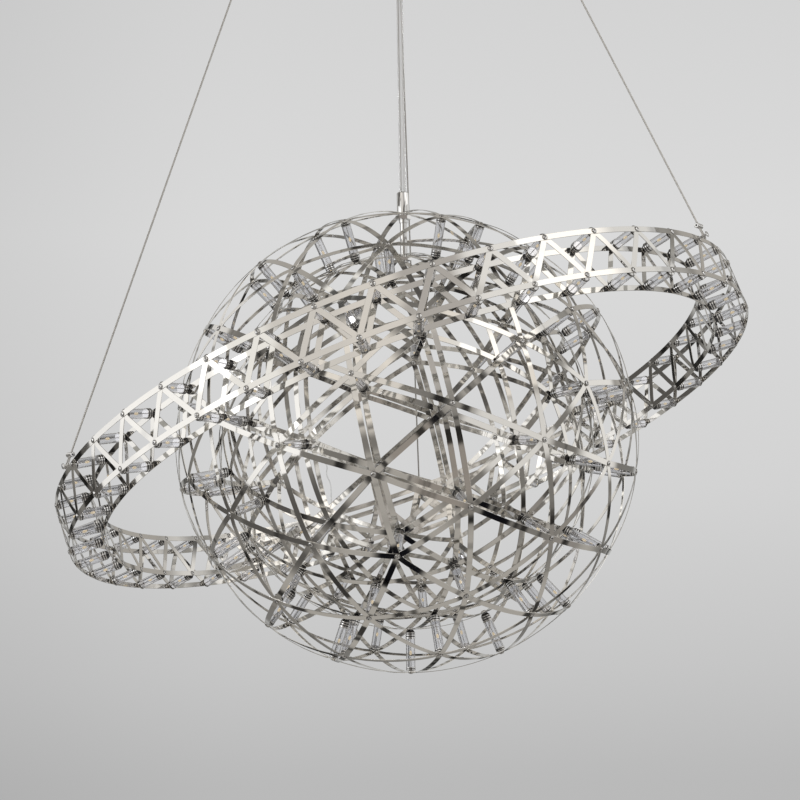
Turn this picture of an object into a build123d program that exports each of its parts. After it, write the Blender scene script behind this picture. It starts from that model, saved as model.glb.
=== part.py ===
"""Orb chandelier: a double-shell orb of polished strips and glass lamps, circled by a tilted
truss ring of the same make. Both hang from one ceiling canopy. Millimetres, +Z up, with the
origin on the ceiling, in the middle of the bracket."""

import os
from itertools import combinations
from math import atan2, cos, degrees, pi, radians, sin, sqrt

from build123d import *

os.makedirs("parts", exist_ok=True)

# ---- Driving dimensions --------------------------------------------------------------------

# Strips and lamps, alike on the orb and the ring
strip_width = 5.0
strip_thickness = 0.6
strip_setback = 4.9  # from the axis of a lamp to the end of a strip
lamp_width = 9.0  # across flats
screw_stand = 1.5  # how far the screw end of a lamp stands out of the shell
seat_gap = 0.3  # left between pieces that would otherwise only just touch
turned_sides = 12  # sides that stand for the round of a small turned piece

# Orb
orb_drop = 555.0  # from the ceiling to the middle of the orb
orb_radius = 215.0
shell_spacing = 39.8  # from the outer shell in to the inner shell
orb_bearing = -10.35  # of the five-way crossing next to the top of the orb
edge_steps = 3  # strips along each edge of the icosahedron

# Ring
ring_rise = 14.6  # middle of the ring above the middle of the orb
ring_radius = 332.5
ring_depth = 33.5  # from the outer band in to the inner band
ring_half_height = 19.0  # from the middle of the ring to a hoop
ring_tilt = 22.75
ring_bearing = -33.7  # of the highest point of the ring
ring_lamps = 42  # in each of the two rows
hanger_bearing = 2.3  # of the first hanger, from the highest point of the ring
hanger_count = 3

# Top fitting and stem of the orb
barrel_diameter = 11.6
barrel_height = 20.6
stem_diameter = 8.0
stem_tip_diameter = 6.5
stem_tip_drop = 47.0  # from the outer shell down to the end of the stem
stem_nut_width = 12.5
stem_nut_height = 3.5

# Suspension
cable_diameter = 1.6
strand_count = 6  # laid round the cable's core, so that its section is six-sided
cord_width = 6.0
cord_thickness = 3.0
cord_corner = 1.0
clamp_rise = 10.0  # from the hanger stud up to the middle of the clamp
clamp_length = 10.5
clamp_width = 4.6  # across flats
loop_wire = 1.2
loop_inner_width = 3.2
loop_seat = 1.0  # from the flats of the stud's neck to the wire below it
stud_neck = 6.6
stud_neck_width = 2.4
stud_head = 1.2
stud_head_width = 5.5
loop_stand = 3.6  # from the face of the hoop out to the middle of the wire loop

# Canopy and what it carries
canopy_diameter = 340.0
canopy_height = 45.0
canopy_wall = 1.5
canopy_edge = 5.0
gripper_inset = 25.0  # from the rim of the canopy in to the middle of a gripper
gripper_bearings = {"right": 329.5, "back": 89.5, "left": 209.5}
gripper_diameter = 11.0
gripper_length = 22.0
gripper_shank_width = 8.0  # across flats: the six-sided shank can't turn in the canopy
gripper_nut_width = 13.0
gripper_nut_height = 5.0
plunger_width = 6.6  # across flats
plunger_length = 14.0
plunger_stand = 5.0  # below the gripper body, released
plunger_travel = 2.0
plunger_clearance = 0.05
cord_grip_diameter = 15.0
cord_grip_nose = 9.0
cord_grip_body_length = 9.0
cord_grip_length = 16.0
cord_grip_shank_width = 9.0
hole_clearance = 0.2

# Ceiling bracket and what is inside the canopy
bracket_length = 200.0
bracket_width = 30.0
bracket_thickness = 2.5
screw_spacing = 88.0
screw_slot_width = 5.5
screw_slot_length = 14.0
wire_hole_size = 18.0
standoff_spacing = 170.0
standoff_width = 7.0
canopy_screw_width = 4.0
canopy_screw_head_width = 9.0
canopy_screw_head_height = 5.0
driver_length = 150.0
driver_width = 44.0
driver_height = 28.0
driver_offset = 75.0
terminal_length = 48.0
terminal_width = 20.0
terminal_height = 16.0
terminal_offset = -75.0

# ---- Shared geometry -----------------------------------------------------------------------

orb_centre = Vector(0, 0, -orb_drop)
inner_radius = orb_radius - shell_spacing
canopy_floor = canopy_wall - canopy_height
canopy_radius = canopy_diameter / 2
gripper_circle = canopy_radius - gripper_inset
neighbour_limit = 64  # degrees: neighbouring corners of an icosahedron are 63.4 apart


def icosahedron_corners():
    """The twelve corners of an icosahedron, as unit vectors."""
    golden = (1 + sqrt(5)) / 2
    corners = []
    for side in (1, -1):
        for end in (golden, -golden):
            corners += [Vector(0, side, end), Vector(side, end, 0), Vector(end, 0, side)]
    return [corner.normalized() for corner in corners]


def is_near(first, second, limit):
    """True if two unit vectors are nearer to each other than the limit, in degrees."""
    return first.get_angle(second) < limit


def geodesic_crossings(corners, steps):
    """Each flat face of the icosahedron is divided into steps, then blown out to the sphere."""
    crossings = []
    for face in combinations(corners, 3):
        if not all(is_near(a, b, neighbour_limit) for a, b in combinations(face, 2)):
            continue
        for i in range(steps + 1):
            for j in range(steps + 1 - i):
                k = steps - i - j
                point = (face[0] * i + face[1] * j + face[2] * k).normalized()
                if not any(is_near(point, other, 1) for other in crossings):
                    crossings.append(point)
    return crossings


def turned_upright(crossings, corners):
    """The sphere is turned until a crossing on an edge is on top, as the orb hangs."""
    near_corner = corners[0]
    far_corner = next(c for c in corners[1:] if is_near(near_corner, c, neighbour_limit))
    top = (near_corner * (edge_steps - 1) + far_corner).normalized()
    ahead = (near_corner - top * near_corner.dot(top)).normalized()
    upright = Plane(origin=(0, 0, 0), x_dir=ahead, z_dir=top)
    turned = [upright.to_local_coords(crossing) for crossing in crossings]
    return [crossing.rotate(Axis.Z, orb_bearing) for crossing in turned]


def bearing(crossing, other):
    """Angle of a neighbouring crossing, in radians, in the tangent plane of this one."""
    local = tangent_plane(crossing).to_local_coords(other)
    return atan2(local.Y, local.X)


def tangent_plane(crossing):
    """Plane through the orb's middle, square to the line out to a crossing."""
    return Plane(origin=(0, 0, 0), z_dir=crossing)


def strip_plane(start, end, outward):
    """Plane midway between two points, with X along the strip and Z out of its broad face."""
    along = (end - start).normalized()
    outward = (outward - along * outward.dot(along)).normalized()
    return Plane(origin=(start + end) * 0.5, x_dir=along, z_dir=outward)


def grouped_by_length(strips):
    """Strips of one length are cut together: length -> planes."""
    groups = {}
    for start, end, outward in strips:
        length = round((end - start).length, 2)
        groups.setdefault(length, []).append(strip_plane(start, end, outward))
    return groups


def export(part, label):
    """Label a finished piece and write its STEP file."""
    part.label = label
    export_step(part, f"parts/{label}.step")


# ---- Orb -----------------------------------------------------------------------------------

corners = icosahedron_corners()
crossings = turned_upright(geodesic_crossings(corners, edge_steps), corners)
strut_limit = 60 / edge_steps + 10  # degrees, longer than any strip and shorter than two
struts = [pair for pair in combinations(crossings, 2) if is_near(*pair, strut_limit)]
top_crossing = max(crossings, key=lambda crossing: crossing.Z)
lamp_crossings = [crossing for crossing in crossings if crossing is not top_crossing]


def shell_strips(radius):
    """Ends and outward direction of every strip on a shell of the given radius."""
    return [
        (orb_centre + first * radius, orb_centre + second * radius, first + second)
        for first, second in struts
    ]


for name, radius in (("orb_outer_strips", orb_radius), ("orb_inner_strips", inner_radius)):
    with BuildPart() as shell:
        for length, planes in grouped_by_length(shell_strips(radius)).items():
            with Locations(*planes):
                Box(length - 2 * strip_setback, strip_width, strip_thickness)
    export(shell.part, name)


def neighbours(crossing):
    """The five or six crossings that strips join to this one."""
    return [b if a is crossing else a for a, b in struts if crossing in (a, b)]


def lamp_plane(crossing):
    """Plane at a lamp's inner end, turned so that the flats of the lamp face its strips."""
    around = neighbours(crossing)
    count = len(around)
    angles = [count * bearing(crossing, other) for other in around]
    turn = degrees(atan2(sum(map(sin, angles)), sum(map(cos, angles)))) / count
    inner_end = orb_centre + crossing * (inner_radius - screw_stand)
    corner_dir = tangent_plane(crossing).x_dir.rotate(Axis((0, 0, 0), crossing), turn + 180 / count)
    return Plane(origin=inner_end, x_dir=corner_dir, z_dir=crossing)


lamp_span = shell_spacing + 2 * screw_stand
with BuildPart() as orb_lamps:
    for sides in (5, 6):
        seats = [lamp_plane(c) for c in lamp_crossings if len(neighbours(c)) == sides]
        with BuildSketch(*seats):
            RegularPolygon(lamp_width / 2, sides, major_radius=False)
        extrude(amount=lamp_span)
export(orb_lamps.part, "orb_lamps")

# The stem hangs from the barrel, which stands on the strips round the top crossing.
strip_slope = sin(radians(12))
shell_seat = orb_radius - strip_setback * strip_slope + strip_thickness / 2
inner_seat = inner_radius - barrel_diameter / 2 * strip_slope - strip_thickness / 2
barrel_foot = orb_centre.Z + shell_seat + seat_gap / 2
barrel_top = barrel_foot + barrel_height

with BuildPart(Plane.XY.offset(barrel_foot)) as orb_top_barrel:
    Cylinder(barrel_diameter / 2, barrel_height, align=(Align.CENTER, Align.CENTER, Align.MIN))
export(orb_top_barrel.part, "orb_top_barrel")

stem_end = orb_centre.Z + orb_radius - stem_tip_drop
inner_nut_top = orb_centre.Z + inner_seat - seat_gap
stem_step = inner_nut_top + shell_spacing / 2
with BuildPart() as orb_stem:
    with BuildSketch(Plane.XY.offset(stem_end)):
        RegularPolygon(stem_tip_diameter / 2, turned_sides)
    extrude(amount=stem_step - stem_end)
    with BuildSketch(Plane.XY.offset(stem_step)):
        RegularPolygon(stem_diameter / 2, turned_sides)
    extrude(amount=barrel_foot - stem_step)
export(orb_stem.part, "orb_stem")

outer_nut_top = orb_centre.Z + shell_seat - strip_thickness - 3 * seat_gap
with BuildPart() as orb_stem_nuts:
    for nut_top, bore in ((outer_nut_top, stem_diameter), (inner_nut_top, stem_tip_diameter)):
        with BuildSketch(Plane.XY.offset(nut_top)):
            RegularPolygon(stem_nut_width / 2, 6, major_radius=False)
            RegularPolygon(bore / 2, turned_sides, mode=Mode.SUBTRACT)
        extrude(amount=-stem_nut_height)
export(orb_stem_nuts.part, "orb_stem_nuts")

# ---- Ring ----------------------------------------------------------------------------------

ring_uphill = Vector(1, 0, 0).rotate(Axis.Y, -ring_tilt).rotate(Axis.Z, ring_bearing)
ring_normal = Vector(0, 0, 1).rotate(Axis.Y, -ring_tilt).rotate(Axis.Z, ring_bearing)
ring_centre = orb_centre + Vector(0, 0, ring_rise)
ring_plane = Plane(origin=ring_centre, x_dir=ring_uphill, z_dir=ring_normal)
ring_inner_radius = ring_radius - ring_depth
lamp_pitch = 360 / ring_lamps


def ring_point(radius, turn, height):
    """Point at a radius and an angle round the ring, and a height along its axis."""
    angle = radians(turn)
    return ring_plane.from_local_coords(Vector(radius * cos(angle), radius * sin(angle), height))


def ring_outward(turn):
    """Direction straight out of the ring at an angle round it."""
    return ring_point(1, turn, 0) - ring_plane.origin


def row_turns(half_pitches):
    """Angles of the lamps in one row, which starts some half pitches after the first hanger."""
    start = hanger_bearing + half_pitches * lamp_pitch / 2
    return [start + lamp_pitch * index for index in range(ring_lamps)]


# name of the row -> angles of its lamps, height along the ring's axis
rows = {
    "upper": (row_turns(0), ring_half_height),
    "lower": (row_turns(1), -ring_half_height),
}
bands = {"outer": ring_radius, "inner": ring_inner_radius}

for band, radius in bands.items():
    for row, (turns, height) in rows.items():
        with BuildPart() as hoop:
            with BuildSketch(ring_plane.offset(height - strip_width / 2)):
                RegularPolygon(radius + strip_thickness / 2, ring_lamps, rotation=turns[0])
                RegularPolygon(
                    radius - strip_thickness / 2,
                    ring_lamps,
                    rotation=turns[0],
                    mode=Mode.SUBTRACT,
                )
                with PolarLocations(radius, ring_lamps, turns[0]):
                    Rectangle(4 * strip_thickness, seat_gap, mode=Mode.SUBTRACT)
            extrude(amount=strip_width)
        export(hoop.part, f"ring_{band}_{row}_hoop")


def web_strips(radius):
    """Every zigzag strip of a band: from each upper lamp to the two lower ones beside it."""
    strips = []
    for turn in rows["upper"][0]:
        for side in (-1, 1):
            lower_turn = turn + side * lamp_pitch / 2
            start = ring_point(radius, turn, ring_half_height)
            end = ring_point(radius, lower_turn, -ring_half_height)
            strips.append((start, end, ring_outward((turn + lower_turn) / 2)))
    return strips


for band, radius in bands.items():
    with BuildPart() as webs:
        for length, planes in grouped_by_length(web_strips(radius)).items():
            with Locations(*planes):
                Box(length - 2 * strip_setback, strip_width, strip_thickness)
    export(webs.part, f"ring_{band}_webs")

# A lamp lies between the two bands, its flat ends against the inside of the kinked hoops.
kink_depth = lamp_width / 2 * sin(pi / ring_lamps)
lamp_inner_end = ring_inner_radius + strip_thickness / 2 + seat_gap / 3
lamp_outer_end = ring_radius - strip_thickness / 2 - kink_depth - seat_gap / 3
for row, (turns, height) in rows.items():
    seats = [
        Plane(origin=ring_point(lamp_inner_end, turn, height), z_dir=ring_outward(turn))
        for turn in turns
    ]
    with BuildPart() as row_of_lamps:
        with BuildSketch(*seats):
            RegularPolygon(lamp_width / 2, 5, major_radius=False)
        extrude(amount=lamp_outer_end - lamp_inner_end)
    export(row_of_lamps.part, f"ring_{row}_lamps")

# ---- Suspension: hanger studs, wire loops, clamps, cables ----------------------------------

hangers = {}  # name of the cable -> its stud's plane, with Z out of the hoop
for index, name in enumerate(gripper_bearings):
    turn = hanger_bearing + index * 360 / hanger_count
    hoop_face = ring_radius + strip_thickness / 2
    face_point = ring_point(hoop_face, turn, ring_half_height)
    hangers[name] = Plane(origin=face_point, x_dir=ring_normal, z_dir=ring_outward(turn))

with BuildPart() as ring_hanger_studs:
    with BuildSketch(*hangers.values()):
        RegularPolygon(stud_neck_width / 2, 6, major_radius=False)
    extrude(amount=stud_neck)
    with BuildSketch(*[plane.offset(stud_neck) for plane in hangers.values()]):
        RegularPolygon(stud_head_width / 2, 6, major_radius=False)
    extrude(amount=stud_head)
export(ring_hanger_studs.part, "ring_hanger_studs")

plunger_tip = -canopy_height - gripper_length - plunger_stand
cable_lines = {}  # name of the cable -> the plane at its hanger, X along the clamp, Y up the cable
cable_exits = {}
for name, turn in gripper_bearings.items():
    hanger = hangers[name].offset(loop_stand)
    exit_point = Vector(gripper_circle, 0, plunger_tip - seat_gap).rotate(Axis.Z, turn)
    up_cable = (exit_point - hanger.origin).normalized()
    across = up_cable.cross(hanger.z_dir).normalized()
    cable_lines[name] = Plane(origin=hanger.origin, x_dir=across, z_dir=across.cross(up_cable))
    cable_exits[name] = exit_point - up_cable * seat_gap

loop_top = clamp_rise - clamp_width / 2
loop_bottom = -stud_neck_width / 2 - loop_seat
with BuildPart() as cable_wire_loops:
    with BuildSketch(*[line.offset(-loop_wire / 2) for line in cable_lines.values()]):
        inner_length = loop_top - loop_wire - loop_bottom
        with Locations((0, loop_bottom + inner_length / 2)):
            Rectangle(loop_inner_width + 2 * loop_wire, inner_length + 2 * loop_wire)
            Rectangle(loop_inner_width, inner_length, mode=Mode.SUBTRACT)
    extrude(amount=loop_wire)
export(cable_wire_loops.part, "cable_wire_loops")

with BuildPart() as cable_clamps:
    for line in cable_lines.values():
        clamp_centre = line.from_local_coords(Vector(-clamp_length / 2, clamp_rise, 0))
        with BuildSketch(Plane(origin=clamp_centre, x_dir=line.z_dir, z_dir=line.x_dir)):
            RegularPolygon(clamp_width / 2, 6, major_radius=False)
        extrude(amount=clamp_length)
export(cable_clamps.part, "cable_clamps")

for name, line in cable_lines.items():
    clamp_top = line.from_local_coords(Vector(0, clamp_rise + clamp_width / 2, 0))
    run = cable_exits[name] - clamp_top
    with BuildPart() as cable:
        with BuildSketch(Plane(origin=clamp_top, z_dir=run)):
            RegularPolygon(cable_diameter / 2, strand_count)
        extrude(amount=run.length)
    export(cable.part, f"{name}_cable")
    print(f"{name} cable: {run.length:.1f} mm, volume {cable.part.volume:.1f} mm3")

cord_grip_tip = -canopy_height - cord_grip_length
cord_top = cord_grip_tip - seat_gap
cord_foot = barrel_top + seat_gap
with BuildPart() as centre_cord:
    with BuildSketch(Plane.XY.offset(cord_foot)) as cord_section:
        Rectangle(cord_width, cord_thickness)
        chamfer(cord_section.vertices(), cord_corner)
    extrude(amount=cord_top - cord_foot)
export(centre_cord.part, "centre_cord")
print(f"centre cord: {cord_top - cord_foot:.1f} mm")

# ---- Grippers ------------------------------------------------------------------------------

gripper_spots = [Vector(gripper_circle, 0, 0).rotate(Axis.Z, t) for t in gripper_bearings.values()]
bore_depth = plunger_length - plunger_stand + plunger_travel + seat_gap
with BuildPart() as gripper_bodies:
    with BuildSketch(Plane.XY.offset(-canopy_height)):
        with Locations(*gripper_spots):
            RegularPolygon(gripper_diameter / 2, turned_sides)
    extrude(amount=-gripper_length)
    with BuildSketch(Plane.XY.offset(-canopy_height)):
        with Locations(*gripper_spots):
            RegularPolygon(gripper_shank_width / 2, 6, major_radius=False)
    extrude(amount=canopy_wall)
    with BuildSketch(Plane.XY.offset(-canopy_height - gripper_length)):
        with Locations(*gripper_spots):
            RegularPolygon(plunger_width / 2 + plunger_clearance, 6, major_radius=False)
    extrude(amount=bore_depth, mode=Mode.SUBTRACT)
export(gripper_bodies.part, "gripper_bodies")

with BuildPart() as gripper_nuts:
    with BuildSketch(Plane.XY.offset(canopy_floor)):
        with Locations(*gripper_spots):
            RegularPolygon(gripper_nut_width / 2, 6, major_radius=False)
    extrude(amount=gripper_nut_height)
export(gripper_nuts.part, "gripper_nuts")

for name, spot in zip(gripper_bearings, gripper_spots):
    with BuildPart() as plunger:
        with BuildSketch(Plane.XY.offset(plunger_tip)):
            with Locations(spot):
                RegularPolygon(plunger_width / 2, 6, major_radius=False)
        extrude(amount=plunger_length)
    export(plunger.part, f"{name}_gripper_plunger")

# ---- Cord grip -----------------------------------------------------------------------------

grip_shoulder = -canopy_height - cord_grip_body_length
grip_nose_length = cord_grip_length - cord_grip_body_length
grip_nose_step = (cord_grip_diameter - cord_grip_nose) / 2 * cos(pi / turned_sides)
with BuildPart() as cord_grip:
    with BuildSketch(Plane.XY.offset(-canopy_height)):
        RegularPolygon(cord_grip_diameter / 2, turned_sides)
    extrude(amount=-cord_grip_body_length)
    with BuildSketch(Plane.XY.offset(grip_shoulder)):
        RegularPolygon(cord_grip_diameter / 2, turned_sides)
    extrude(amount=-grip_nose_length, taper=degrees(atan2(grip_nose_step, grip_nose_length)))
    with BuildSketch(Plane.XY.offset(-canopy_height)):
        RegularPolygon(cord_grip_shank_width / 2, 6, major_radius=False)
    extrude(amount=canopy_wall)
export(cord_grip.part, "cord_grip")

with BuildPart() as cord_grip_nut:
    with BuildSketch(Plane.XY.offset(canopy_floor)):
        RegularPolygon(gripper_nut_width / 2, 6, major_radius=False)
    extrude(amount=gripper_nut_height)
export(cord_grip_nut.part, "cord_grip_nut")

# ---- Canopy, bracket and what the canopy hides ---------------------------------------------

standoff_spots = [(-standoff_spacing / 2, 0), (standoff_spacing / 2, 0)]
with BuildPart() as canopy_cover:
    with BuildSketch(Plane.XZ):
        with BuildLine():
            Polyline(
                (0, -canopy_height),
                (canopy_radius - canopy_edge, -canopy_height),
                (canopy_radius, canopy_edge - canopy_height),
                (canopy_radius, 0),
                (canopy_radius - canopy_wall, 0),
                (canopy_radius - canopy_wall, canopy_edge + canopy_floor),
                (canopy_radius - canopy_edge - canopy_wall, canopy_floor),
                (0, canopy_floor),
                close=True,
            )
        make_face()
    revolve(axis=Axis.Z)
    with BuildSketch(Plane.XY.offset(-canopy_height)):
        with Locations(*gripper_spots):
            RegularPolygon(gripper_shank_width / 2 + hole_clearance, 6, major_radius=False)
        with Locations(*standoff_spots):
            RegularPolygon(canopy_screw_width / 2 + hole_clearance, 6, major_radius=False)
        RegularPolygon(cord_grip_shank_width / 2 + hole_clearance, 6, major_radius=False)
    extrude(amount=canopy_wall, mode=Mode.SUBTRACT)
export(canopy_cover.part, "canopy_cover")

with BuildPart() as ceiling_bracket:
    with BuildSketch():
        Rectangle(bracket_length, bracket_width)
        with Locations((-screw_spacing / 2, 0), (screw_spacing / 2, 0)):
            SlotOverall(screw_slot_length, screw_slot_width, mode=Mode.SUBTRACT)
        Rectangle(wire_hole_size, wire_hole_size, mode=Mode.SUBTRACT)
    extrude(amount=-bracket_thickness)
export(ceiling_bracket.part, "ceiling_bracket")

with BuildPart() as canopy_standoffs:
    with BuildSketch(Plane.XY.offset(-bracket_thickness)):
        with Locations(*standoff_spots):
            RegularPolygon(standoff_width / 2, 6, major_radius=False)
    extrude(amount=canopy_floor + bracket_thickness)
export(canopy_standoffs.part, "canopy_standoffs")

with BuildPart() as canopy_screws:
    with BuildSketch(Plane.XY.offset(-canopy_height)):
        with Locations(*standoff_spots):
            RegularPolygon(canopy_screw_head_width / 2, 6, major_radius=False)
    extrude(amount=-canopy_screw_head_height)
    with BuildSketch(Plane.XY.offset(-canopy_height)):
        with Locations(*standoff_spots):
            RegularPolygon(canopy_screw_width / 2, 6, major_radius=False)
    extrude(amount=canopy_wall)
export(canopy_screws.part, "canopy_screws")

with BuildPart(Plane.XY.offset(canopy_floor)) as led_driver:
    with Locations((0, driver_offset, driver_height / 2)):
        Box(driver_length, driver_width, driver_height)
    chamfer(led_driver.edges().filter_by(Axis.Z), 2)
export(led_driver.part, "led_driver")

with BuildPart(Plane.XY.offset(canopy_floor)) as terminal_block:
    with Locations((0, terminal_offset, terminal_height / 2)):
        Box(terminal_length, terminal_width, terminal_height)
export(terminal_block.part, "terminal_block")
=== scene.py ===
"""Looks of the orb chandelier: polished strips, glass lamp tubes, suspension and canopy.

Every piece is in metres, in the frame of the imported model, and rides on one of its bodies.
"""

import logging
from dataclasses import dataclass, field
from enum import Enum
from functools import cache
from itertools import combinations
from math import atan2, cos, pi, radians, sin, sqrt
from typing import Callable, Iterable, Sequence

import bpy
import numpy as np
from mathutils import Matrix, Vector


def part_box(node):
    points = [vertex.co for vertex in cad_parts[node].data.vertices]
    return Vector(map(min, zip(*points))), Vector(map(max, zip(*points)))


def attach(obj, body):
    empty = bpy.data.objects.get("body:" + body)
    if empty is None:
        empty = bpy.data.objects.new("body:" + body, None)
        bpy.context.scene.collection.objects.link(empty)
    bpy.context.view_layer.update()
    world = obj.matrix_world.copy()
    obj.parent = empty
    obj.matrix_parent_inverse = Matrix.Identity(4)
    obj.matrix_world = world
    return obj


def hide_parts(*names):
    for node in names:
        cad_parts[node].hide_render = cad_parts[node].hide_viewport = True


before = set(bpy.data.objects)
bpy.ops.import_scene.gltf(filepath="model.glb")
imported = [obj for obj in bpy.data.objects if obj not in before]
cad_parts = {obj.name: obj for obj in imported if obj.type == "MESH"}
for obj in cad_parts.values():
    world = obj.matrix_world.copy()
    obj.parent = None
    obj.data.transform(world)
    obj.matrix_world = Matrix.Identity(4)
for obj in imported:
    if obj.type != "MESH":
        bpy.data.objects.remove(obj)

log = logging.getLogger("chandelier")
MM = 0.001
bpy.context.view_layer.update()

Point = np.ndarray
Loop = np.ndarray
Colour = tuple[float, float, float]
Profile = list[tuple[float, float]]
Placer = Callable[[float, float], tuple[Point, Point]]

UP, DOWN = np.array([0, 0, 1.0]), np.array([0, 0, -1.0])


# ---- Small vector tools ----------------------------------------------------------------------


def unit(vector: Sequence[float]) -> Point:
    """The vector at length one."""
    array = np.asarray(vector, float)
    return array / np.linalg.norm(array)


def turned_about_z(vector: Sequence[float], angle: float) -> Point:
    """The vector turned about the vertical by an angle in radians."""
    x, y, z = vector
    return np.array([x * cos(angle) - y * sin(angle), x * sin(angle) + y * cos(angle), z])


def square_frame(axis: Point) -> tuple[Point, Point]:
    """Find two unit vectors square to an axis and to each other.

    Args:
        axis: Unit vector.

    Returns:
        The two directions that span the plane across the axis.
    """
    helper = UP if abs(axis[2]) < 0.9 else np.array([1.0, 0, 0])
    first = unit(np.cross(helper, axis))
    return first, np.cross(axis, first)


def on_axis(height: float) -> Point:
    """Point on the vertical axis that everything hangs round."""
    return np.array([0, 0, height])


def turns(count: int) -> np.ndarray:
    """Angles in radians, evenly spaced round a circle."""
    return np.arange(count) * 2 * pi / count


def circle(angles: np.ndarray, first: Point, second: Point) -> np.ndarray:
    """Points one metre out at some angles, in the plane of two directions."""
    return np.outer(np.cos(angles), first) + np.outer(np.sin(angles), second)


def in_mm(pairs: Profile) -> Profile:
    """The radii and heights of a profile in millimetres, in metres."""
    return [(radius * MM, height * MM) for radius, height in pairs]


# ---- Finishes --------------------------------------------------------------------------------


class Slot(Enum):
    """Material slots of the record."""

    STRIP = "polished_strip"
    GLASS = "lamp_glass"
    CHROME = "turned_chrome"
    CABLE = "steel_cable"
    CORD = "clear_cord"
    CANOPY = "polished_canopy"
    ZINC = "zinc_steel"
    WHITE = "white_plastic"
    NYLON = "clear_plastic"
    LED = "led_amber"


@dataclass
class Graph:
    """Adds nodes to a shader tree and joins them."""

    tree: bpy.types.NodeTree

    def add(self, kind: str, inputs: dict | None = None, **settings: object) -> bpy.types.Node:
        """Add a node.

        Args:
            kind: Blender's name for the kind of node.
            inputs: Socket to link or value to set, by the name or number of the input.
            settings: Properties of the node, set before its inputs.

        Returns:
            The new node.
        """
        node = self.tree.nodes.new(kind)
        for name, setting in settings.items():
            setattr(node, name, setting)
        self.fill(node, inputs or {})
        return node

    def fill(self, node: bpy.types.Node, inputs: dict) -> None:
        """Link sockets to a node's inputs, or set their values.

        Args:
            node: The node.
            inputs: Socket or value, by the name or number of the input.
        """
        for name, given in inputs.items():
            if isinstance(given, bpy.types.NodeSocket):
                self.tree.links.new(given, node.inputs[name])
            else:
                node.inputs[name].default_value = given


def handling_marks() -> bpy.types.NodeTree:
    """Group that gives a surface its faint smears and fine lines.

    Returns:
        A group with a tone, a roughness and a height that vary over the surface.
    """
    group = bpy.data.node_groups.new("handling_marks", "ShaderNodeTree")
    for label, value in (("Scale", 40.0), ("Tone", 0.1), ("Roughness", 0.1), ("Smear", 0.1)):
        socket = group.interface.new_socket(label, in_out="INPUT", socket_type="NodeSocketFloat")
        socket.default_value = value
    for label in ("Tone", "Roughness", "Height"):
        group.interface.new_socket(label, in_out="OUTPUT", socket_type="NodeSocketFloat")
    graph, finer = Graph(group), 22.0
    entry = graph.add("NodeGroupInput").outputs
    place = graph.add("ShaderNodeTexCoord").outputs["Object"]
    wide = {"Vector": place, "Scale": entry["Scale"], "Detail": 3.0}
    smears = graph.add("ShaderNodeTexNoise", wide).outputs["Fac"]
    fine = graph.add("ShaderNodeMath", {0: entry["Scale"], 1: finer}, operation="MULTIPLY")
    narrow = {"Vector": place, "Scale": fine.outputs[0], "Detail": 1.0}
    lines = graph.add("ShaderNodeTexNoise", narrow).outputs["Fac"]
    dullest = graph.add("ShaderNodeMath", {0: 1.0, 1: entry["Tone"]}, operation="SUBTRACT")
    limits = {"From Min": 0.3, "From Max": 0.7, "To Min": dullest.outputs[0]}
    tone = graph.add("ShaderNodeMapRange", {"Value": smears, **limits}).outputs["Result"]
    smeared = {0: smears, 1: entry["Smear"], 2: entry["Roughness"]}
    rough = graph.add("ShaderNodeMath", smeared, operation="MULTIPLY_ADD").outputs[0]
    graph.add("NodeGroupOutput", {"Tone": tone, "Roughness": rough, "Height": lines})
    return group


HANDLING = handling_marks()


@dataclass(frozen=True)
class Finish:
    """A surface with faint handling marks."""

    name: str
    colour: Colour
    roughness: float
    smear: float = 0.08
    tone: float = 0.08
    scale: float = 40.0
    bump: float = 0.02
    depth: float = 0.1 * MM

    def material(self) -> bpy.types.Material:
        """Build the node material.

        Returns:
            The material, with handling marks in its gloss and its relief.
        """
        material = bpy.data.materials.new(self.name)
        material.use_nodes = True
        graph, shader = Graph(material.node_tree), material.node_tree.nodes["Principled BSDF"]
        gloss = {"Roughness": self.roughness, "Smear": self.smear}
        marks = graph.add("ShaderNodeGroup", node_tree=HANDLING)
        graph.fill(marks, {"Scale": self.scale, "Tone": self.tone, **gloss})
        relief = {"Strength": self.bump, "Distance": self.depth, "Height": marks.outputs["Height"]}
        normal = graph.add("ShaderNodeBump", relief).outputs["Normal"]
        graph.fill(shader, {"Roughness": marks.outputs["Roughness"], "Normal": normal})
        self.colour_in(graph, shader, marks.outputs["Tone"])
        return material

    def colour_in(
        self, graph: Graph, shader: bpy.types.Node, tone: bpy.types.NodeSocket
    ) -> None:
        """Give the shader its colour and what else the kind of finish needs."""
        raise NotImplementedError


@dataclass(frozen=True)
class MetalFinish(Finish):
    """Metal, a little duller where it was handled."""

    dulled: float = 0.82

    def colour_in(
        self, graph: Graph, shader: bpy.types.Node, tone: bpy.types.NodeSocket
    ) -> None:
        """Give the shader its metal colour.

        Args:
            graph: The material's graph.
            shader: Its Principled shader.
            tone: Socket that is low where the metal was handled.
        """
        dull = (*(c * self.dulled for c in self.colour), 1)
        tones = {"Factor": tone, "A": dull, "B": (*self.colour, 1)}
        mix = graph.add("ShaderNodeMix", tones, data_type="RGBA")
        graph.fill(shader, {"Base Color": mix.outputs["Result"], "Metallic": 1.0})


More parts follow.
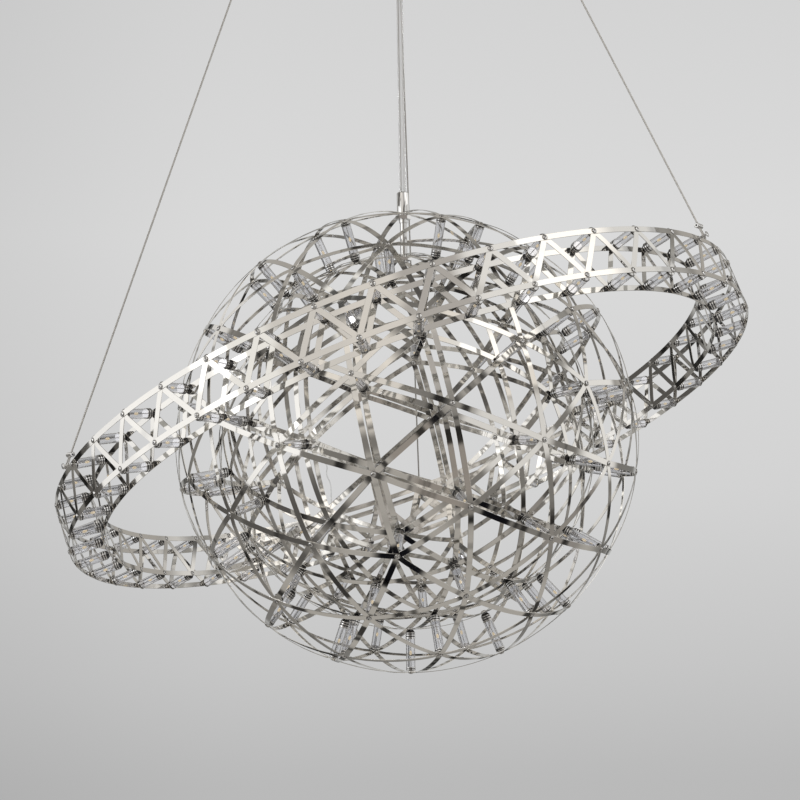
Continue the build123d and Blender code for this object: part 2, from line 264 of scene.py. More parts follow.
@dataclass(frozen=True)
class PlasticFinish(Finish):
    """Moulded plastic or glass, clear where it transmits."""

    smear: float = 0.05
    scale: float = 300.0
    bump: float = 0.05
    depth: float = 0.2 * MM
    transmission: float = 0.0
    ior: float = 1.47
    painted_glow: float = 0.0
    alpha: float = 1.0

    def colour_in(
        self, graph: Graph, shader: bpy.types.Node, tone: bpy.types.NodeSocket
    ) -> None:
        """Give the shader its colour, clearness and painted glow.

        Args:
            graph: The material's graph.
            shader: Its Principled shader.
            tone: Not used, as plastic keeps one colour.
        """
        whole = (*self.colour, 1)
        clear = {"Transmission Weight": self.transmission, "IOR": self.ior, "Alpha": self.alpha}
        painted_glow = {"Emission Color": whole, "Emission Strength": self.painted_glow}
        graph.fill(shader, {"Base Color": whole, **clear, **painted_glow})


STAINLESS = MetalFinish("polished_stainless", (0.80, 0.785, 0.755), 0.035, smear=0.05)
CHROME = MetalFinish("turned_chrome", (0.80, 0.80, 0.80), 0.035, smear=0.05, scale=90.0)
DARK_GROOVE = MetalFinish("groove_shadow", (0.11, 0.11, 0.115), 0.35)
# Painted shade: dark colour for the contact shadow round each screw head and for its socket.
SCREW_PAINTED_SHADE = MetalFinish("screw_painted_shade", (0.46, 0.45, 0.44), 0.3)
CABLE_STEEL = MetalFinish("cable_steel", (0.62, 0.61, 0.59), 0.42, scale=600.0, bump=0.1)
TINNED = MetalFinish("tinned_core", (0.50, 0.49, 0.47), 0.35, scale=500.0)
ZINC = MetalFinish("bright_zinc", (0.62, 0.63, 0.66), 0.32, smear=0.2, scale=120.0)
CANOPY_STEEL = MetalFinish("canopy_polish", (0.80, 0.80, 0.79), 0.06, smear=0.08, scale=12.0)
LAMP_GLASS = PlasticFinish("lamp_tube", (0.975, 0.978, 1.0), 0.0, transmission=1.0, bump=0.0)
CORD_JACKET = PlasticFinish(
    "clear_jacket", (0.99, 0.99, 0.99), 0.05, transmission=1.0, bump=0.0, alpha=0.35
)
CORE_SLEEVE = PlasticFinish("core_sleeve", (0.86, 0.85, 0.83), 0.4)
# Painted light: the unlit LED bead gets a faint glow of its own colour, standing in for light that
# the glass tube holds back.
LED_AMBER = PlasticFinish("led_phosphor", (0.98, 0.82, 0.56), 0.35, painted_glow=0.35)
WHITE_PLASTIC = PlasticFinish("driver_case", (0.80, 0.80, 0.78), 0.45)
NYLON = PlasticFinish("terminal_nylon", (0.72, 0.74, 0.70), 0.35)


# ---- Mesh tools ------------------------------------------------------------------------------


@dataclass
class MeshKit:
    """Gathers the faces of one piece and turns them into an object."""

    name: str
    finishes: list[Finish]
    vertices: list[Point] = field(default_factory=list)
    faces: list[tuple[int, ...]] = field(default_factory=list)
    marks: list[int] = field(default_factory=list)
    count: int = 0

    def skin(
        self, loops: Sequence[Loop], marks: Sequence[int] | int = 0, capped: bool = True
    ) -> None:
        """Join closed loops of points into a skin.

        Args:
            loops: Loops of equally many points, one after the other.
            marks: Finish number of the whole skin, or of each span between two loops.
            capped: Close the first and the last loop.
        """
        size = len(loops[0])
        start = self.count
        for loop in loops:
            self.vertices.append(np.asarray(loop, float))
        self.count += size * len(loops)
        spans = len(loops) - 1
        span_marks = [marks] * spans if isinstance(marks, int) else list(marks)
        for span in range(spans):
            low = start + span * size
            for k in range(size):
                after = (k + 1) % size
                self.faces.append((low + k, low + after, low + size + after, low + size + k))
                self.marks.append(span_marks[span])
        if capped:
            self.faces.append(tuple(range(start + size - 1, start - 1, -1)))
            self.faces.append(tuple(range(start + spans * size, start + (spans + 1) * size)))
            self.marks += [span_marks[0], span_marks[-1]]

    def turned(
        self,
        foot: Point,
        axis: Point,
        profile: Profile,
        sides: int = 16,
        marks: Sequence[int] | int = 0,
        capped: bool = True,
    ) -> None:
        """A turned piece.

        Args:
            foot: Point on the axis that heights are counted from.
            axis: Unit vector along the piece.
            profile: Radius and height of each ring, from one end to the other.
            sides: Points round each ring.
            marks: Finish numbers, as for skin.
            capped: Close both ends.
        """
        around = circle(turns(sides), *square_frame(axis))
        loops = [foot + axis * height + around * radius for radius, height in profile]
        self.skin(loops, marks, capped)

    def ribbon(
        self,
        centres: Sequence[Point],
        normals: Sequence[Point],
        half_widths: Sequence[float],
        thickness: float,
    ) -> None:
        """A flat strip with finely broken edges that follows a surface.

        Args:
            centres: Points along the middle of the strip.
            normals: Direction out of its broad face at each point.
            half_widths: Half the width at each point.
            thickness: Thickness of the sheet.
        """
        centres = np.asarray(centres)
        along = np.gradient(centres, axis=0)
        half, loops = thickness / 2, []
        for centre, normal, tangent, wide in zip(centres, normals, along, half_widths):
            side = unit(np.cross(tangent, normal))
            edge = min(0.22 * thickness, 0.4 * wide)
            section = [(-wide, edge - half), (-wide, half - edge), (edge - wide, half)]
            section += [(wide - edge, half), (wide, half - edge), (wide, edge - half)]
            section += [(wide - edge, -half), (edge - wide, -half)]
            loops.append([centre + side * a + normal * b for a, b in section])
        self.skin(loops)

    def tube(self, route: Sequence[Point], level: Point, radius: float, sides: int = 8) -> None:
        """A round wire along points that lie in one plane.

        Args:
            route: Points of its middle line.
            level: Unit vector square to that plane.
            radius: Radius of the wire.
            sides: Points round it.
        """
        along = np.gradient(np.asarray(route), axis=0)
        loops = []
        for spot, tangent in zip(route, along):
            around = circle(turns(sides), unit(np.cross(level, tangent)), level)
            loops.append(spot + around * radius)
        self.skin(loops)

    def build(
        self, body: str, slot: Slot, replaced: Iterable[str] = (), crease: float = 32.0
    ) -> bpy.types.Object:
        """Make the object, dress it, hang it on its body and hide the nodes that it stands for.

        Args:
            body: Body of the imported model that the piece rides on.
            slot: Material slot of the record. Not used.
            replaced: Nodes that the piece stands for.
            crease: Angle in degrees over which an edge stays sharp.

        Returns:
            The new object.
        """
        mesh = bpy.data.meshes.new(self.name)
        mesh.from_pydata(np.concatenate(self.vertices).tolist(), [], self.faces)
        for finish in self.finishes:
            mesh.materials.append(dressed(finish))
        mesh.polygons.foreach_set("material_index", self.marks)
        mesh.shade_smooth()
        mesh.set_sharp_from_angle(angle=radians(crease))
        mesh.update()
        piece = hung(self.name, mesh, body)
        if replaced:
            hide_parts(*replaced)
        log.info("%s: %d faces on %s", self.name, len(self.faces), body)
        return piece


def hung(name: str, data: bpy.types.ID, body: str) -> bpy.types.Object:
    """Put a piece into the scene.

    Args:
        name: Name of the piece.
        data: Its mesh or curve.
        body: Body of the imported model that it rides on.

    Returns:
        The new object.
    """
    piece = bpy.data.objects.new(name, data)
    bpy.context.scene.collection.objects.link(piece)
    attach(piece, body)
    return piece


@cache
def dressed(finish: Finish) -> bpy.types.Material:
    """The one material of a finish."""
    return finish.material()


# ---- Strips, screws and lamps, alike on the orb and the ring -----------------------------------


@dataclass(frozen=True)
class Strip:
    """A flat strip with round ends that are screwed on the crossings."""

    half_width: float = 2.5 * MM
    thickness: float = 0.5 * MM
    tab_reach: float = 9.0 * MM
    tip: float = 0.12

    def lay(
        self,
        kit: MeshKit,
        length: float,
        place: Placer,
        layers: tuple[float, float],
        spans: int,
    ) -> None:
        """Lay the strip on a surface.

        Args:
            kit: Mesh that receives it.
            length: From one crossing to the other.
            place: Point and normal at a distance along the strip, raised by a height.
            layers: Height of the two ends in the stack of strips at their crossings.
            spans: Steps along the strip between its tabs.
        """
        cap = self.half_width * np.sin(np.linspace(-pi / 2, 0, 5))[:-1]
        inner = np.linspace(0, length, spans + 1)
        distances = np.concatenate([cap, inner, length - cap[::-1]])
        centres, normals, widths = [], [], []
        for distance in distances:
            beyond = max(-distance, distance - length, 0.0)
            width = sqrt(max(self.half_width**2 - beyond**2, (self.tip * self.half_width) ** 2))
            near, far = self.ease(distance), self.ease(length - distance)
            centre, normal = place(distance, layers[0] * near + layers[1] * far)
            centres.append(centre)
            normals.append(normal)
            widths.append(width)
        kit.ribbon(centres, normals, widths, self.thickness)

    def ease(self, distance: float) -> float:
        """One at a crossing, falling smoothly to nothing where the tab ends."""
        share = min(max(1 - distance / self.tab_reach, 0.0), 1.0)
        return share * share * (3 - 2 * share)


@dataclass(frozen=True)
class Lamp:
    """A clear tube with an LED on a wire, a grooved collar inside and a short one outside."""

    glass_radius: float = 4.2 * MM
    glass_wall: float = 0.5 * MM
    cap_radius: float = 4.5 * MM
    taper_length: float = 2.4 * MM
    taper_radius: float = 2.6 * MM
    blunt_length: float = 0.6 * MM
    tuck: float = 1.2 * MM
    groove_depth: float = 0.4 * MM
    groove_width: float = 0.9 * MM
    groove_start: float = 0.7 * MM
    groove_pitch: float = 2.2 * MM
    groove_slope: float = 0.1 * MM
    inner_cap: float = 8.4 * MM
    outer_cap: float = 3.6 * MM
    edge: float = 0.25 * MM
    leg_radius: float = 0.3 * MM
    led_radius: float = 1.5 * MM
    led_height: float = 1.15 * MM

    def fit(self, kits: dict[str, MeshKit], foot: Point, axis: Point, length: float) -> None:
        """Fit a lamp between two crossings.

        Args:
            kits: Meshes for the glass, the caps and the LEDs.
            foot: Inner end of the lamp.
            axis: Unit vector towards its outer end.
            length: Length over the caps.
        """
        glass, caps, leds = kits["glass"], kits["caps"], kits["leds"]
        start, end = self.inner_cap - self.tuck, length - self.outer_cap + self.tuck
        outer, inner = self.glass_radius, self.glass_radius - self.glass_wall
        tube = [(outer, start), (outer, end), (inner, end), (inner, start), (outer, start)]
        glass.turned(foot, axis, tube, sides=20, capped=False)
        wire = [(self.leg_radius, start), (self.leg_radius, end)]
        leds.turned(foot, axis, wire, sides=6, marks=1)
        self.led(leds, foot + axis * (start + end) / 2, axis)
        rings, marks = self.collar(self.taper_length, self.inner_cap, 2)
        caps.turned(foot, axis, rings, sides=20, marks=marks)
        rings, marks = self.collar(self.blunt_length, self.outer_cap, 1)
        caps.turned(foot + axis * length, -axis, rings, sides=20, marks=marks)

    def led(self, kit: MeshKit, middle: Point, axis: Point) -> None:
        """Thread the LED's long phosphor bead on its wire.

        Args:
            kit: Mesh that receives it.
            middle: Its centre.
            axis: Unit vector along the lamp.
        """
        angles = np.linspace(-pi / 2 + 0.15, pi / 2 - 0.15, 7)
        bead = [(self.led_height * cos(a), 1.5 * self.led_radius * sin(a)) for a in angles]
        kit.turned(middle, axis, bead, sides=12)

    def collar(self, taper: float, length: float, grooves: int) -> tuple[Profile, list[int]]:
        """Rings and finish numbers of a collar, from its closed end.

        Args:
            taper: Length of its conical end.
            length: Length of the whole collar.
            grooves: How many dark grooves it has.

        Returns:
            Radius and height of each ring, and the finish number of each band.
        """
        full, low, edge = self.cap_radius, self.cap_radius - self.groove_depth, self.edge
        rings = [(self.taper_radius, 0.0), (full - edge, taper), (full, taper + edge)]
        marks = [1 if grooves > 1 else 0, 0]
        for groove in range(grooves):
            start = taper + edge + self.groove_start + groove * self.groove_pitch
            stop, slope = start + self.groove_width, self.groove_slope
            rings += [(full, start), (low, start + slope), (low, stop), (full, stop + slope)]
            marks += [0, 1, 1, 1]
        rings += [(full, length - edge), (full - edge, length)]
        return rings, marks + [0, 0]


@dataclass(frozen=True)
class Screw:
    """A small domed screw head with a socket, with painted shade in the socket and in a ring where
    it meets the strip.
    """

    radius: float = 2.5 * MM
    height: float = 0.9 * MM
    seat: float = 0.25 * MM
    socket: float = 0.75 * MM
    shade_ring: float = 0.45 * MM
    shade_ring_high: float = 0.12 * MM
    shade_ring_low: float = 0.05 * MM
    wall: float = 0.3 * MM

    def drive(self, kit: MeshKit, foot: Point, axis: Point) -> None:
        """Put the head on a crossing.

        Args:
            kit: Mesh that receives it.
            foot: Face of the strips at the crossing.
            axis: Unit vector out of that face.
        """
        inner = self.radius - self.shade_ring
        rings = [(self.radius, -self.seat), (self.radius, self.shade_ring_high), (inner, self.shade_ring_low)]
        rings += [(inner, self.wall), (0.86 * inner, 0.62 * self.height)]
        rings += [(0.6 * inner, 0.9 * self.height), (self.socket, self.height)]
        rings += [(0.9 * self.socket, 0.3 * self.height)]
        # Painted shade on the ring where the head meets the strip, and in the socket.
        kit.turned(foot, axis, rings, sides=12, marks=[1, 1, 1, 0, 0, 0, 1])


def lamp_kits(prefix: str) -> dict[str, MeshKit]:
    """Start the meshes for a set of lamps and their screws.

    Args:
        prefix: What the names of the pieces begin with.

    Returns:
        Empty meshes for the tubes, the caps, the LEDs and the screws.
    """
    return {
        "glass": MeshKit(f"{prefix}_lamp_tubes", [LAMP_GLASS]),
        "caps": MeshKit(f"{prefix}_lamp_caps", [CHROME, DARK_GROOVE]),
        "leds": MeshKit(f"{prefix}_leds", [LED_AMBER, TINNED]),
        "screws": MeshKit(f"{prefix}_screws", [CHROME, SCREW_PAINTED_SHADE]),
    }


def build_lamp_kits(kits: dict[str, MeshKit], body: str, nodes: Sequence[str]) -> None:
    """Turn the meshes of a set of lamps into pieces.

    Args:
        kits: The meshes, as lamp_kits makes them.
        body: Body that they ride on.
        nodes: Nodes that they stand for.
    """
    kits["glass"].build(body, Slot.GLASS, nodes)
    kits["caps"].build(body, Slot.CHROME, nodes)
    kits["leds"].build(body, Slot.LED)
    kits["screws"].build(body, Slot.CHROME)


# ---- Orb -------------------------------------------------------------------------------------


@dataclass
class Orb:
    """Double-shell lattice orb with a lamp at each crossing, hung from its top barrel."""

    drop: float = 555 * MM
    radius: float = 215 * MM
    shell_spacing: float = 39.8 * MM
    bearing: float = radians(-10.35)
    steps: int = 3
    layer_rise: float = 0.42 * MM
    twin_rise: float = 0.10 * MM
    stack_sink: float = 1.05 * MM
    lamp_inset: float = 0.4 * MM
    lamp_outset: float = 1.5 * MM
    outer_screw: float = 0.35 * MM
    inner_screw: float = 1.4 * MM
    strip: Strip = Strip()
    lamp: Lamp = Lamp()
    screw: Screw = Screw()
    lead_ends: tuple[tuple[float, float, float], ...] = ((-0.54, 0.84, 0.07), (-0.46, 0.83, -0.33))
    lead_length: float = 84 * MM
    lead_radius: float = 0.5 * MM
    lead_reach: float = 2.2 * MM
    lead_route: tuple[tuple[float, float, float], ...] = (
        (0.0, 0, 0),
        (0.02, 8, 1),
        (0.22, 12, 4),
        (0.40, 10, -4),
        (0.52, 14, 3),
        (0.66, 10, -3),
        (0.84, 12, 1),
        (0.98, 7, 0),
        (1.0, 0, 0),
    )
    body: str = "orb"

    def __post_init__(self) -> None:
        """Work out the lattice."""
        self.centre = on_axis(-self.drop)
        self.inner_radius = self.radius - self.shell_spacing
        self.crossings = self.lattice()
        dots = self.crossings @ self.crossings.T
        near = cos(radians(60 / self.steps + 10))
        pairs = combinations(range(len(self.crossings)), 2)
        self.struts = [(a, b) for a, b in pairs if dots[a, b] > near]
        self.top = int(np.argmax(self.crossings[:, 2]))

    def lattice(self) -> np.ndarray:
        """Divide an icosahedron's faces and push their points out to a sphere.

        Returns:
            The crossings as unit vectors, turned as the orb hangs.
        """
        golden = (1 + sqrt(5)) / 2
        corners = []
        for side in (1, -1):
            for end in (golden, -golden):
                corners += [(0, side, end), (side, end, 0), (end, 0, side)]
        corners = [unit(corner) for corner in corners]
        edge = cos(radians(64))  # corners with a common edge are 63.4 degrees apart
        found: list[Point] = []
        for face in combinations(corners, 3):
            if min(a @ b for a, b in combinations(face, 2)) < edge:
                continue
            for i in range(self.steps + 1):
                for j in range(self.steps + 1 - i):
                    share = (i, j, self.steps - i - j)
                    point = unit(sum(c * n for c, n in zip(face, share)))
                    if all(point @ other < 0.9999 for other in found):
                        found.append(point)
        far = next(c for c in corners[1:] if c @ corners[0] > edge)
        top = unit(corners[0] * (self.steps - 1) + far)
        ahead = unit(corners[0] - top * (top @ corners[0]))
        basis = np.stack([ahead, np.cross(top, ahead), top])
        return np.array([turned_about_z(basis @ point, self.bearing) for point in found])

    def layers(self) -> dict[tuple[int, int], float]:
        """Stack the strips' ends at each crossing, opposite ones in one layer.

        Returns:
            Height of a strip's end over the shell, by its crossing and its other crossing.
        """
        heights = {}
        for here, direction in enumerate(self.crossings):
            others = [b if a == here else a for a, b in self.struts if here in (a, b)]
            first, second = square_frame(direction)
            toward = {o: self.crossings[o] for o in others}
            others.sort(key=lambda o: atan2(toward[o] @ second, toward[o] @ first))
            for rank, other in enumerate(others):
                pair, twin = (rank % 3, rank // 3) if len(others) == 6 else (rank / 2, 0)
                height = self.layer_rise * pair + self.twin_rise * twin - self.stack_sink
                heights[here, other] = height
        return heights

    def shell(self, name: str, radius: float) -> None:
        """Lay all strips of one shell.

        Args:
            name: Node that the shell stands for.
            radius: Radius of the shell.
        """
        kit = MeshKit(name.replace("strips", "shell"), [STAINLESS])
        heights = self.layers()
        for a, b in self.struts:
            start, end = self.crossings[a], self.crossings[b]
            angle = np.arccos(start @ end)
            ahead = unit(end - start * (start @ end))

            def place(distance: float, height: float) -> tuple[Point, Point]:
                """Find a point of the strip.

                Args:
                    distance: Distance from the first crossing.
                    height: Height over the shell.

                Returns:
                    Point and normal on the shell.
                """
                turn = distance / radius
                normal = start * cos(turn) + ahead * sin(turn)
                return self.centre + normal * (radius + height), normal

            self.strip.lay(kit, radius * angle, place, (heights[a, b], heights[b, a]), 9)
        kit.build(self.body, Slot.STRIP, [name])

    def lamps(self) -> None:
        """Fit the lamps and drive a screw through each of their ends."""
        kits = lamp_kits("orb")
        foot, head = self.inner_radius + self.lamp_inset, self.radius - self.lamp_outset
        outer, inner = self.radius + self.outer_screw, self.inner_radius - self.inner_screw
        for index, axis in enumerate(self.crossings):
            if index == self.top:
                continue
            self.lamp.fit(kits, self.centre + axis * foot, axis, head - foot)
            self.screw.drive(kits["screws"], self.centre + axis * outer, axis)
            self.screw.drive(kits["screws"], self.centre + axis * inner, -axis)
        build_lamp_kits(kits, self.body, ["orb_lamps"])

    def lead_wire(self) -> None:
        """Run the thin clear lead between two lamps at the back of the inner shell."""
        upper, lower = (self.crossings[self.nearest(way)] for way in self.lead_ends)
        reach = self.inner_radius - self.lead_reach
        start, end = self.centre + upper * reach, self.centre + lower * reach
        inward = -unit(upper + lower)
        sideways = unit(np.cross(end - start, inward))
        data = bpy.data.curves.new("orb_lead_wire", "CURVE")
        data.dimensions, data.bevel_depth, data.bevel_resolution = "3D", self.lead_radius, 3
        data.use_fill_caps = True
        spline = data.splines.new("NURBS")
        spline.points.add(len(self.lead_route) - 1)
        for point, (share, deep, aside) in zip(spline.points, self.lead_route):
            spot = start + (end - start) * share + inward * deep * MM + sideways * aside * MM
            point.co = (*spot, 1)
        spline.order_u, spline.use_endpoint_u, spline.resolution_u = 3, True, 12
        data.materials.append(dressed(CORD_JACKET))
        piece = hung("orb_lead_wire", data, self.body)
        log.info("orb_lead_wire: %d points on %s", len(self.lead_route), self.body)

    def nearest(self, direction: Sequence[float]) -> int:
        """Number of the crossing nearest to a direction."""
        return int(np.argmax(self.crossings @ unit(direction)))

    def top_fitting(self) -> None:
        """Turn the barrel and the stem under it."""
        low, high = (corner[2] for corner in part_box("orb_top_barrel"))
        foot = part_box("orb_stem")[0][2]
        height, length = (high - low) / MM, (low - foot) / MM
        barrel = [(1.5, 0.0), (5.3, 0.0), (5.8, 0.5), (5.8, height - 1.0), (5.5, height - 0.5)]
        barrel += [(4.8, height), (3.4, height), (3.3, height - 2)]
        step = length - 9
        stem = [(2.2, 0.0), (2.9, 0.0), (3.25, 0.5), (3.25, step)]
        stem += [(3.9, step + 0.3), (3.9, length)]
        fittings = (("orb_top_barrel", low, barrel, 32), ("orb_stem", foot, stem, 24))
        for name, start, rings, sides in fittings:
            kit = MeshKit(f"{name}_turned", [CHROME])
            kit.turned(on_axis(start), UP, in_mm(rings), sides=sides)
            kit.build(self.body, Slot.CHROME, [name])

    def build(self) -> None:
        """Make every piece of the orb."""
        self.shell("orb_outer_strips", self.radius)
        self.shell("orb_inner_strips", self.inner_radius)
        self.lamps()
        self.lead_wire()
        self.top_fitting()


# ---- Ring ------------------------------------------------------------------------------------


@dataclass
class Ring:
    """Tilted truss ring of two bands, with lamps between them."""

    centre_height: float = (14.6 - 555) * MM
    outer_radius: float = 331.6 * MM
    inner_radius: float = 299.4 * MM
    half_height: float = 19 * MM
    tilt: float = radians(22.75)
    bearing: float = radians(-33.7)
    count: int = 42
    hanger_turn: float = radians(2.3)
    lamp_inset: float = 1.0 * MM
    screw_seat: float = 0.25 * MM
    hoop_lap: float = 0.12 * MM
    web_depth: float = 0.5 * MM
    web_lap: float = 0.2 * MM
    strip: Strip = Strip()
    lamp: Lamp = Lamp(inner_cap=7.4 * MM, outer_cap=3.4 * MM)
    screw: Screw = Screw()
    body: str = "canopy_and_ring"

    def __post_init__(self) -> None:
        """Work out the ring's axes."""
        uphill = (cos(self.tilt), 0, sin(self.tilt))
        normal = (-sin(self.tilt), 0, cos(self.tilt))
        self.uphill = turned_about_z(uphill, self.bearing)
        self.normal = turned_about_z(normal, self.bearing)
        self.across = np.cross(self.normal, self.uphill)
        self.centre = on_axis(self.centre_height)
        self.pitch = 2 * pi / self.count

    def outward(self, turn: float) -> Point:
        """Direction out of the ring at an angle round it."""
        return self.uphill * cos(turn) + self.across * sin(turn)

    def point(self, radius: float, turn: float, height: float) -> Point:
        """Point at a radius, an angle round the ring and a height along its axis."""
        return self.centre + self.outward(turn) * radius + self.normal * height

    def rows(self) -> list[tuple[list[float], float]]:
        """Stagger the two rows of crossings by half a pitch.

        Returns:
            Angles and height of the upper and of the lower row.
        """
        upper = [self.hanger_turn + k * self.pitch for k in range(self.count)]
        lower = [turn + self.pitch / 2 for turn in upper]
        return [(upper, self.half_height), (lower, -self.half_height)]

    def band(self, name: str, radius: float, facing: int) -> None:
        """Lay the hoops and the zigzag strips of one band.

        Args:
            name: outer or inner, as in the names of the nodes.
            radius: Radius of the band.
            facing: 1 where the band's screws face outward, -1 where they face inward.
        """
        (upper, high), (_, low) = self.rows()
        hoops = MeshKit(f"ring_{name}_hoops", [STAINLESS])
        webs = MeshKit(f"ring_{name}_zigzag", [STAINLESS])
        arc = radius * self.pitch

        def runner(turn: float, height: float, run: float, rise: float) -> tuple[float, Placer]:
            """Find the way along the band from one crossing to another.

            Args:
                turn: Angle of the first crossing.
                height: Its height.
                run: Arc to the other crossing.
                rise: Height of the other crossing over the first.

            Returns:
                Length of the strip, and where its points lie.
            """
            span = sqrt(run**2 + rise**2)

            def place(distance: float, layer: float) -> tuple[Point, Point]:
                """Find a point of the strip.

                Args:
                    distance: Distance from the first crossing.
                    layer: Height over the band.

                Returns:
                    Point and normal on the band.
                """
                share = distance / span
                angle = turn + share * run / radius
                normal = self.outward(angle)
                spot = self.point(radius + layer * facing, angle, height + share * rise)
                return spot, normal

            return span, place

        for angles, height in self.rows():
            for turn in angles:
                span, place = runner(turn, height, arc, 0.0)
                self.strip.lay(hoops, span, place, (0.0, -self.hoop_lap), 4)
        for turn in upper:
            for side in (-1, 1):
                span, place = runner(turn, high, side * arc / 2, low - high)
                layer = -self.web_depth - self.web_lap * (side > 0)
                self.strip.lay(webs, span, place, (layer, layer), 4)
        nodes = [f"ring_{name}_{row}_hoop" for row in ("upper", "lower")]
        hoops.build(self.body, Slot.STRIP, nodes)
        webs.build(self.body, Slot.STRIP, [f"ring_{name}_webs"])

    def lamps(self) -> None:
        """Fit the lamps between the bands, with a screw at each end."""
        kits = lamp_kits("ring")
        foot, head = self.inner_radius + self.lamp_inset, self.outer_radius - self.lamp_inset
        outer, inner = self.outer_radius + self.screw_seat, self.inner_radius - self.screw_seat
        for angles, height in self.rows():
            for turn in angles:
                axis = self.outward(turn)
                self.lamp.fit(kits, self.point(foot, turn, height), axis, head - foot)
                self.screw.drive(kits["screws"], self.point(outer, turn, height), axis)
                self.screw.drive(kits["screws"], self.point(inner, turn, height), -axis)
        build_lamp_kits(kits, self.body, ["ring_upper_lamps", "ring_lower_lamps"])

    def build(self) -> None:
        """Make every piece of the ring."""
        self.band("outer", self.outer_radius, 1)
        self.band("inner", self.inner_radius, -1)
        self.lamps()


# ---- Suspension --------------------------------------------------------------------------------


@dataclass(frozen=True)
class GripperPlan:
    """Where the three cable grippers hang under the canopy."""

    circle: float = 145 * MM
    plunger_tip: float = -72.0 * MM
    bearings: tuple[tuple[str, float], ...] = (("right", 329.5), ("back", 89.5), ("left", 209.5))

    def tips(self) -> list[tuple[str, Point]]:
        """Find the end of each plunger.

        Returns:
            Name of each gripper, and the point where its cable leaves the plunger.
        """
        tips = []
        for name, bearing in self.bearings:
            x, y = self.circle * cos(radians(bearing)), self.circle * sin(radians(bearing))
            tips.append((name, np.array([x, y, self.plunger_tip])))
        return tips


@dataclass(frozen=True)
class StrandedCable:
    """A steel cable of six strands laid round a core."""

    radius: float = 0.8 * MM
    strands: int = 6
    lay_length: float = 12 * MM
    step: float = 1.6 * MM
    groove: float = 0.07

    def stretch(self, name: str, top: Point, foot: Point) -> bpy.types.Object:
        """Stretch the cable from its gripper down to its clamp.

        Args:
            name: Name of the piece and of the node that it stands for.
            top: Where it leaves the gripper's plunger.
            foot: Its end inside the clamp.

        Returns:
            The built piece of cable.
        """
        kit = MeshKit(f"{name}_laid", [CABLE_STEEL])
        run = foot - top
        length = float(np.linalg.norm(run))
        angles = turns(4 * self.strands)
        around = circle(angles, *square_frame(unit(run))) * self.radius
        loops = []
        for share in np.linspace(0, 1, int(length / self.step)):
            turn = share * length / self.lay_length * 2 * pi
            crest = np.abs(np.cos(self.strands / 2 * (angles - turn)))
            swell = 1 - self.groove + self.groove * crest
            loops.append(top + run * share + around * swell[:, None])
        kit.skin(loops)
        piece = kit.build("canopy_and_ring", Slot.CABLE, [name], crease=50)
        return piece


